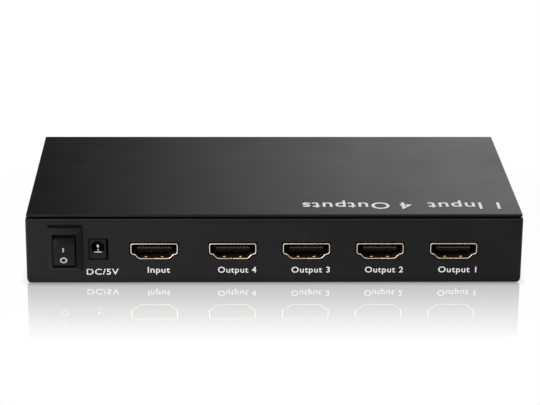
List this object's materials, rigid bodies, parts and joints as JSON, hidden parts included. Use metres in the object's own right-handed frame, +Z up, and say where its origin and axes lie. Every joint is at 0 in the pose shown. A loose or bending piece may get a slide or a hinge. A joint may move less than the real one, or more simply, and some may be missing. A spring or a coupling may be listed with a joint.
{
  "type": "hdmi splitter",
  "caption": "Flat black metal video splitter box with a rocker switch, a DC power jack and a row of gold type A video sockets along one panel.",
  "frame": {"origin": "middle of the whole box in plan, at the underside of the feet", "axes": "+X to the right along the socket panel as seen from outside, -Y the way the sockets face, +Z up"},
  "size_m": [0.1538, 0.0852, 0.0228],
  "materials": {
    "case_paint": "satin black powder coat",
    "screw_black": "black zinc",
    "foot_rubber": "matte black rubber",
    "steel": "nickel plated",
    "board": "green solder mask",
    "socket_gold": "gold plated steel",
    "tongue_plastic": "dark moulded plastic",
    "contact_gold": "gold plated contacts",
    "jack_plastic": "black moulded plastic",
    "jack_metal": "nickel plated",
    "switch_plastic": "satin black moulded plastic",
    "rocker_plastic": "satin black moulded plastic with white signs",
    "copper_alloy": "plain copper alloy",
    "wire_red": "red insulation",
    "wire_black": "black insulation",
    "chip_plastic": "black epoxy",
    "thermal_pad": "grey silicone",
    "aluminium": "plain extruded",
    "ferrite": "grey ferrite",
    "can_sleeve": "dark blue sleeve",
    "led_red": "tinted clear lens",
    "led_green": "tinted clear lens"
  },
  "bodies": {
    "case": {"base_tray": "case_paint", "top_cover": "case_paint", "cover_screws": "screw_black", "foot_1": "foot_rubber", "foot_2": "foot_rubber", "foot_3": "foot_rubber", "foot_4": "foot_rubber", "board_standoffs": "steel", "board_screws": "steel", "main_board": "board", "socket_shell_input": "socket_gold", "socket_shell_output_4": "socket_gold", "socket_shell_output_3": "socket_gold", "socket_shell_output_2": "socket_gold", "socket_shell_output_1": "socket_gold", "socket_tongue_input": "tongue_plastic", "socket_tongue_output_4": "tongue_plastic", "socket_tongue_output_3": "tongue_plastic", "socket_tongue_output_2": "tongue_plastic", "socket_tongue_output_1": "tongue_plastic", "socket_contacts_input": "contact_gold", "socket_contacts_output_4": "contact_gold", "socket_contacts_output_3": "contact_gold", "socket_contacts_output_2": "contact_gold", "socket_contacts_output_1": "contact_gold", "dc_jack_body": "jack_plastic", "dc_jack_pin": "jack_metal", "dc_jack_contact": "jack_metal", "switch_housing": "switch_plastic", "switch_terminal_common": "copper_alloy", "switch_terminal_load": "copper_alloy", "wire_supply": "wire_red", "wire_switched": "wire_black", "splitter_chip": "chip_plastic", "voltage_regulator": "chip_plastic", "line_driver_1": "chip_plastic", "line_driver_2": "chip_plastic", "line_driver_3": "chip_plastic", "line_driver_4": "chip_plastic", "line_driver_5": "chip_plastic", "thermal_pad": "thermal_pad", "heat_sink": "aluminium", "inductor": "ferrite", "crystal": "steel", "capacitor_1": "can_sleeve", "capacitor_2": "can_sleeve", "capacitor_3": "can_sleeve", "led_power": "led_red", "led_out_1": "led_green", "led_out_2": "led_green", "led_out_3": "led_green", "led_out_4": "led_green"},
    "rocker": {"switch_rocker": "rocker_plastic", "switch_plunger": "copper_alloy", "switch_spring": "steel"},
    "lever": {"switch_lever": "copper_alloy"}
  },
  "joints": [
    {"name": "rocker_tip", "type": "hinge", "parent": "case", "child": "rocker", "pos_m": [-0.06484, -0.03756, 0.01195], "axis": [-1, 0, 0], "range_deg": [0, 20]},
    {"name": "lever_tip", "type": "hinge", "parent": "case", "child": "lever", "pos_m": [-0.06484, -0.03104, 0.01195], "axis": [1, 0, 0], "range_deg": [0, 12]}
  ],
  "couplings": [
    {"joint": "lever_tip", "follows": "rocker_tip", "ratio": 0.6}
  ]
}
